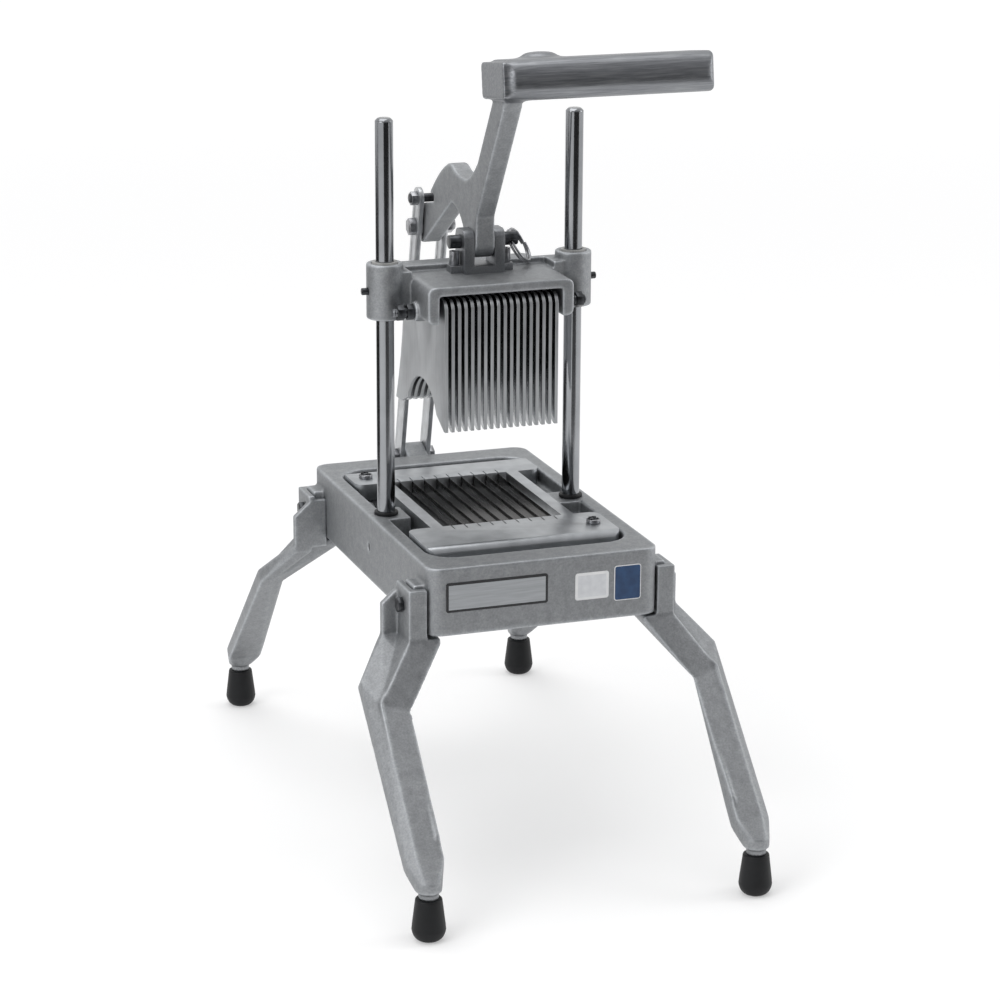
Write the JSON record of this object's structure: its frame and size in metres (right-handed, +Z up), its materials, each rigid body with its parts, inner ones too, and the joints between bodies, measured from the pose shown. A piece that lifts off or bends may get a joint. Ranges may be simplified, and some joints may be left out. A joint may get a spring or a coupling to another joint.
{
  "type": "bench-top onion slicer",
  "caption": "Four-legged bench slicer: a lever drives a finned pusher down two rods and presses an onion through a frame of straight blades.",
  "frame": {"origin": "on the bench, midway between the four feet, in the plane of the two guide rods", "axes": "+Z up along the guide rods, -Y to the front where the operator stands, +X to the side that the grip points to"},
  "size_m": [0.2728, 0.499, 0.5506],
  "materials": {
    "cast_aluminium": "satin, tumbled casting",
    "bright_aluminium": "bright machined",
    "ground_steel": "ground",
    "grey_steel": "satin",
    "blade_steel": "honed edge",
    "dull_steel": "dull plated",
    "black_steel": "black oxide",
    "black_rubber": "satin",
    "bearing_plastic": "plain"
  },
  "bodies": {
    "base": {"base_frame": "cast_aluminium", "leg_front_left": "cast_aluminium", "leg_front_right": "cast_aluminium", "leg_rear_left": "cast_aluminium", "leg_rear_right": "cast_aluminium", "foot_front_left": "black_rubber", "foot_front_right": "black_rubber", "foot_rear_left": "black_rubber", "foot_rear_right": "black_rubber", "leg_bolts": "black_steel", "guide_rod_left": "ground_steel", "guide_rod_right": "ground_steel", "bumper_left": "black_rubber", "bumper_right": "black_rubber", "rod_set_screws": "black_steel", "blade_frame": "bright_aluminium", "blades": "blade_steel", "hold_down_screws": "ground_steel", "base_pivot_pin": "ground_steel"},
    "carriage": {"carriage": "cast_aluminium", "bushing_left": "bearing_plastic", "bushing_right": "bearing_plastic", "bushing_screws": "black_steel", "fin_01": "cast_aluminium", "fin_02": "cast_aluminium", "fin_03": "cast_aluminium", "fin_04": "cast_aluminium", "fin_05": "cast_aluminium", "fin_06": "cast_aluminium", "fin_07": "cast_aluminium", "fin_08": "cast_aluminium", "fin_09": "cast_aluminium", "fin_10": "cast_aluminium", "fin_11": "cast_aluminium", "fin_12": "cast_aluminium", "fin_13": "cast_aluminium", "fin_14": "cast_aluminium", "fin_15": "cast_aluminium", "fin_16": "cast_aluminium", "fin_17": "cast_aluminium", "fin_18": "cast_aluminium", "fin_spacers": "ground_steel", "fin_rod_front": "ground_steel", "fin_rod_rear": "ground_steel", "fin_rod_nuts": "black_steel", "clevis": "grey_steel", "clevis_screws": "ground_steel", "clevis_pin": "black_steel"},
    "lever": {"lever": "cast_aluminium"},
    "links": {"link_left": "ground_steel", "link_right": "ground_steel", "link_bolt": "dull_steel", "link_nut": "dull_steel", "link_washers": "ground_steel", "stop_bolt": "black_steel", "stop_nuts": "dull_steel", "link_foot_bolts": "dull_steel"},
    "ring": {"pull_ring": "dull_steel"}
  },
  "joints": [
    {"name": "carriage_slide", "type": "slide", "parent": "base", "child": "carriage", "axis": [0, 0, -1], "range_m": [0, 0.14]},
    {"name": "lever_pivot", "type": "hinge", "parent": "carriage", "child": "lever", "pos_m": [0, 0, 0.4135], "axis": [1, 0, 0], "range_deg": [0, 69.77]},
    {"name": "link_pivot", "type": "hinge", "parent": "lever", "child": "links", "pos_m": [0, 0.112, 0.4025], "axis": [1, 0, 0], "range_deg": [-49.19, 0]},
    {"name": "ring_swing", "type": "hinge", "parent": "carriage", "child": "ring", "pos_m": [0.022, 0, 0.4135], "axis": [0, -0.766, -0.6428], "range_deg": [0, 100]}
  ],
  "couplings": [
    {"joint": "lever_pivot", "follows": "carriage_slide", "rad_per_m": 8.6919},
    {"joint": "link_pivot", "follows": "carriage_slide", "rad_per_m": -6.1262}
  ]
}
